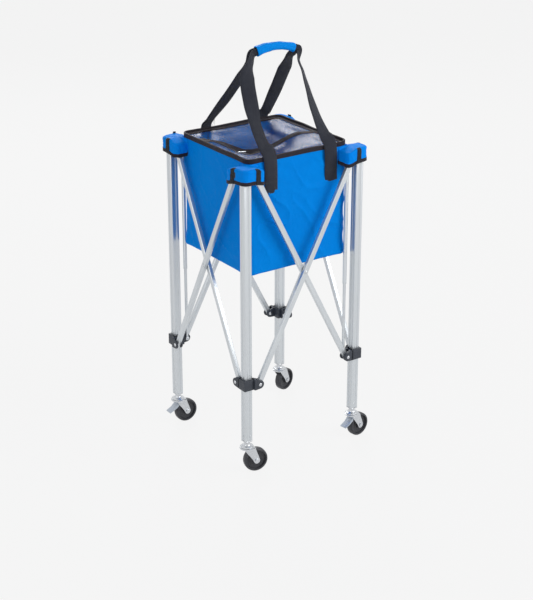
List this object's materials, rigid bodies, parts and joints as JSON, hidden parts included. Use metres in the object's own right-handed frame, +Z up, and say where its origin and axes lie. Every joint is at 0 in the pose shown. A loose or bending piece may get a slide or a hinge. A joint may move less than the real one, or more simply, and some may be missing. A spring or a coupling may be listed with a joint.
{
  "type": "folding ball cart",
  "caption": "Folding scissor-frame ball cart on swivel casters, with a soft square bag, a zipped net lid and two webbing handles joined by a padded grip.",
  "frame": {"origin": "middle of the floor area the opened cart covers, on the floor", "axes": "+Z up, -Y towards the front side, the one nearest the right of the picture; +X along the front side, from the nearest leg to the one at the right"},
  "size_m": [0.5, 0.4578, 1.2538],
  "materials": {
    "aluminium": "satin",
    "bracket_plastic": "matt",
    "zinc": "zinc plated",
    "wheel_black": "satin",
    "bag_fabric": "woven, slightly shiny",
    "binding": "woven tape",
    "net": "see-through net",
    "webbing": "ribbed webbing"
  },
  "bodies": {
    "frame_front_left": {"leg_front_left": "aluminium", "top_bracket_front_left": "bracket_plastic", "caster_stem_front_left": "zinc", "corner_pocket_front_left": "bag_fabric", "bag_walls": "bag_fabric", "rim_band": "binding"},
    "frame_front_right": {"leg_front_right": "aluminium", "top_bracket_front_right": "bracket_plastic", "caster_stem_front_right": "zinc", "corner_pocket_front_right": "bag_fabric", "stay_tube_front_right": "aluminium"},
    "frame_rear_right": {"leg_rear_right": "aluminium", "top_bracket_rear_right": "bracket_plastic", "caster_stem_rear_right": "zinc", "corner_pocket_rear_right": "bag_fabric"},
    "frame_rear_left": {"leg_rear_left": "aluminium", "top_bracket_rear_left": "bracket_plastic", "caster_stem_rear_left": "zinc", "corner_pocket_rear_left": "bag_fabric", "stay_tube_rear_left": "aluminium"},
    "slider_front_left": {"slider_front_left": "bracket_plastic"},
    "slider_front_right": {"slider_front_right": "bracket_plastic", "stay_rod_front_right": "aluminium"},
    "slider_rear_right": {"slider_rear_right": "bracket_plastic"},
    "slider_rear_left": {"slider_rear_left": "bracket_plastic", "stay_rod_rear_left": "aluminium"},
    "strut_front_inner": {"strut_front_inner": "aluminium", "crossing_rivet_front": "zinc"},
    "strut_front_outer": {"strut_front_outer": "aluminium"},
    "strut_right_inner": {"strut_right_inner": "aluminium", "crossing_rivet_right": "zinc"},
    "strut_right_outer": {"strut_right_outer": "aluminium"},
    "strut_rear_inner": {"strut_rear_inner": "aluminium", "crossing_rivet_rear": "zinc"},
    "strut_rear_outer": {"strut_rear_outer": "aluminium"},
    "strut_left_inner": {"strut_left_inner": "aluminium", "crossing_rivet_left": "zinc"},
    "strut_left_outer": {"strut_left_outer": "aluminium"},
    "caster_front_left": {"caster_fork_front_left": "zinc", "caster_axle_front_left": "zinc"},
    "wheel_front_left": {"caster_wheel_front_left": "wheel_black"},
    "caster_front_right": {"caster_fork_front_right": "zinc", "caster_axle_front_right": "zinc"},
    "wheel_front_right": {"caster_wheel_front_right": "wheel_black"},
    "caster_rear_right": {"caster_fork_rear_right": "zinc", "caster_axle_rear_right": "zinc"},
    "wheel_rear_right": {"caster_wheel_rear_right": "wheel_black"},
    "caster_rear_left": {"caster_fork_rear_left": "zinc", "caster_axle_rear_left": "zinc"},
    "wheel_rear_left": {"caster_wheel_rear_left": "wheel_black"},
    "brake_front_right": {"brake_pedal_front_right": "zinc"},
    "brake_rear_left": {"brake_pedal_rear_left": "zinc"},
    "lid_front": {"lid_net_front": "net"},
    "lid_rear": {"lid_net_rear": "net"},
    "zip_slider": {"zip_slider": "zinc"},
    "floor_front": {"bag_floor_front": "bag_fabric"},
    "floor_rear": {"bag_floor_rear": "bag_fabric"},
    "handle_front": {"handle_strap_front": "webbing", "handle_grip": "bag_fabric"},
    "handle_rear": {"handle_strap_rear": "webbing"}
  },
  "joints": [
    {"name": "fold", "type": "hinge", "parent": "frame_front_left", "child": "strut_front_inner", "pos_m": [-0.18003, -0.20139, 0.9295], "axis": [0, 1, 0], "range_deg": [0, 24.3], "deforming": ["bag_walls", "rim_band", "lid_net_front", "lid_net_rear", "bag_floor_front", "bag_floor_rear", "handle_strap_front", "handle_strap_rear", "handle_grip", "corner_pocket_front_left", "corner_pocket_front_right", "corner_pocket_rear_right", "corner_pocket_rear_left"]},
    {"name": "front_crossing", "type": "hinge", "parent": "strut_front_inner", "child": "strut_front_outer", "pos_m": [-0.01403, -0.21439, 0.6105], "axis": [0, 1, 0], "range_deg": [-48.7, 0]},
    {"name": "front_right_top_pivot", "type": "hinge", "parent": "strut_front_outer", "child": "frame_front_right", "pos_m": [0.15197, -0.21439, 0.9295], "axis": [0, 1, 0], "range_deg": [0, 24.4]},
    {"name": "front_right_slider_pivot", "type": "hinge", "parent": "strut_front_inner", "child": "slider_front_right", "pos_m": [0.15197, -0.20139, 0.2915], "axis": [0, 1, 0], "range_deg": [-24.4, 0]},
    {"name": "front_left_slider_pivot", "type": "hinge", "parent": "strut_front_outer", "child": "slider_front_left", "pos_m": [-0.18003, -0.21439, 0.2915], "axis": [0, 1, 0], "range_deg": [0, 24.4]},
    {"name": "right_inner_top_pivot", "type": "hinge", "parent": "frame_front_right", "child": "strut_right_inner", "pos_m": [0.18697, -0.16639, 0.9295], "axis": [-1, 0, 0], "range_deg": [0, 24.4]},
    {"name": "right_crossing", "type": "hinge", "parent": "strut_right_inner", "child": "strut_right_outer", "pos_m": [0.19997, -0.00039, 0.6105], "axis": [-1, 0, 0], "range_deg": [-48.7, 0]},
    {"name": "rear_right_top_pivot", "type": "hinge", "parent": "strut_right_outer", "child": "frame_rear_right", "pos_m": [0.19997, 0.16561, 0.9295], "axis": [-1, 0, 0], "range_deg": [0, 24.4]},
    {"name": "rear_right_slider_pivot", "type": "hinge", "parent": "strut_right_inner", "child": "slider_rear_right", "pos_m": [0.18697, 0.16561, 0.2915], "axis": [-1, 0, 0], "range_deg": [-24.4, 0]},
    {"name": "left_outer_top_pivot", "type": "hinge", "parent": "frame_front_left", "child": "strut_left_outer", "pos_m": [-0.22803, -0.16639, 0.9295], "axis": [1, 0, 0], "range_deg": [-24.4, 0]},
    {"name": "left_crossing", "type": "hinge", "parent": "strut_left_outer", "child": "strut_left_inner", "pos_m": [-0.21503, -0.00039, 0.6105], "axis": [1, 0, 0], "range_deg": [0, 48.7]},
    {"name": "rear_left_top_pivot", "type": "hinge", "parent": "strut_left_inner", "child": "frame_rear_left", "pos_m": [-0.21503, 0.16561, 0.9295], "axis": [1, 0, 0], "range_deg": [-24.4, 0]},
    {"name": "rear_left_slider_pivot", "type": "hinge", "parent": "strut_left_outer", "child": "slider_rear_left", "pos_m": [-0.22803, 0.16561, 0.2915], "axis": [1, 0, 0], "range_deg": [0, 24.4]},
    {"name": "rear_outer_top_pivot", "type": "hinge", "parent": "frame_rear_left", "child": "strut_rear_outer", "pos_m": [-0.18003, 0.21361, 0.9295], "axis": [0, -1, 0], "range_deg": [-24.4, 0]},
    {"name": "rear_crossing", "type": "hinge", "parent": "strut_rear_outer", "child": "strut_rear_inner", "pos_m": [-0.01403, 0.20061, 0.6105], "axis": [0, -1, 0], "range_deg": [0, 48.7]},
    {"name": "lid_front_sink", "type": "hinge", "parent": "frame_front_left", "child": "lid_front", "pos_m": [-0.01403, -0.17139, 0.9668], "axis": [-1, 0, 0], "range_deg": [0, 80.29]},
    {"name": "lid_rear_sink", "type": "hinge", "parent": "frame_rear_left", "child": "lid_rear", "pos_m": [-0.01403, 0.17061, 0.9668], "axis": [1, 0, 0], "range_deg": [0, 80.29]},
    {"name": "floor_front_rise", "type": "hinge", "parent": "frame_front_left", "child": "floor_front", "pos_m": [-0.01403, -0.17439, 0.6202], "axis": [1, 0, 0], "range_deg": [0, 80.29]},
    {"name": "floor_rear_rise", "type": "hinge", "parent": "frame_rear_left", "child": "floor_rear", "pos_m": [-0.01403, 0.17361, 0.6202], "axis": [-1, 0, 0], "range_deg": [0, 80.29]},
    {"name": "handle_front_lift", "type": "hinge", "parent": "frame_front_left", "child": "handle_front", "pos_m": [-0.01403, -0.18069, 0.9725], "axis": [1, 0, 0], "range_deg": [0, 29.99]},
    {"name": "handle_rear_lift", "type": "hinge", "parent": "frame_rear_left", "child": "handle_rear", "pos_m": [-0.01403, 0.17991, 0.9725], "axis": [-1, 0, 0], "range_deg": [0, 29.99]},
    {"name": "zip_travel", "type": "slide", "parent": "lid_front", "child": "zip_slider", "axis": [0.9453, -0.3261, 0], "range_m": [-0.08, 0.2]},
    {"name": "swivel_front_left", "type": "hinge", "parent": "frame_front_left", "child": "caster_front_left", "pos_m": [-0.21303, -0.19939, 0.0825], "axis": [0, 0, 1], "continuous": true},
    {"name": "roll_front_left", "type": "hinge", "parent": "caster_front_left", "child": "wheel_front_left", "pos_m": [-0.18662, -0.20501, 0.0375], "axis": [0.2079, 0.9781, 0], "continuous": true},
    {"name": "swivel_front_right", "type": "hinge", "parent": "frame_front_right", "child": "caster_front_right", "pos_m": [0.18497, -0.19939, 0.0825], "axis": [0, 0, 1], "continuous": true},
    {"name": "roll_front_right", "type": "hinge", "parent": "caster_front_right", "child": "wheel_front_right", "pos_m": [0.21171, -0.19564, 0.0375], "axis": [-0.1392, 0.9903, 0], "continuous": true},
    {"name": "brake_front_right", "type": "hinge", "parent": "caster_front_right", "child": "brake_front_right", "pos_m": [0.18398, -0.19953, 0.071], "axis": [0.1392, -0.9903, 0], "range_deg": [0, 10]},
    {"name": "swivel_rear_right", "type": "hinge", "parent": "frame_rear_right", "child": "caster_rear_right", "pos_m": [0.18497, 0.19861, 0.0825], "axis": [0, 0, 1], "continuous": true},
    {"name": "roll_rear_right", "type": "hinge", "parent": "caster_rear_right", "child": "wheel_rear_right", "pos_m": [0.21065, 0.20695, 0.0375], "axis": [-0.309, 0.9511, 0], "continuous": true},
    {"name": "swivel_rear_left", "type": "hinge", "parent": "frame_rear_left", "child": "caster_rear_left", "pos_m": [-0.21303, 0.19861, 0.0825], "axis": [0, 0, 1], "continuous": true},
    {"name": "roll_rear_left", "type": "hinge", "parent": "caster_rear_left", "child": "wheel_rear_left", "pos_m": [-0.18603, 0.19861, 0.0375], "axis": [0, 1, 0], "continuous": true},
    {"name": "brake_rear_left", "type": "hinge", "parent": "caster_rear_left", "child": "brake_rear_left", "pos_m": [-0.21403, 0.19861, 0.071], "axis": [0, -1, 0], "range_deg": [0, 10]}
  ],
  "couplings": [
    {"joint": "front_crossing", "follows": "fold", "ratio": -2},
    {"joint": "front_right_top_pivot", "follows": "fold", "ratio": 1},
    {"joint": "front_right_slider_pivot", "follows": "fold", "ratio": -1},
    {"joint": "front_left_slider_pivot", "follows": "fold", "ratio": 1},
    {"joint": "right_inner_top_pivot", "follows": "fold", "ratio": 1},
    {"joint": "right_crossing", "follows": "fold", "ratio": -2},
    {"joint": "rear_right_top_pivot", "follows": "fold", "ratio": 1},
    {"joint": "rear_right_slider_pivot", "follows": "fold", "ratio": -1},
    {"joint": "left_outer_top_pivot", "follows": "fold", "ratio": -1},
    {"joint": "left_crossing", "follows": "fold", "ratio": 2},
    {"joint": "rear_left_top_pivot", "follows": "fold", "ratio": -1},
    {"joint": "rear_left_slider_pivot", "follows": "fold", "ratio": 1},
    {"joint": "rear_outer_top_pivot", "follows": "fold", "ratio": -1},
    {"joint": "rear_crossing", "follows": "fold", "ratio": 2},
    {"joint": "lid_front_sink", "follows": "fold", "ratio": 3.3},
    {"joint": "lid_rear_sink", "follows": "fold", "ratio": 3.3},
    {"joint": "floor_front_rise", "follows": "fold", "ratio": 3.3},
    {"joint": "floor_rear_rise", "follows": "fold", "ratio": 3.3},
    {"joint": "handle_front_lift", "follows": "fold", "ratio": 1.23},
    {"joint": "handle_rear_lift", "follows": "fold", "ratio": 1.23}
  ]
}
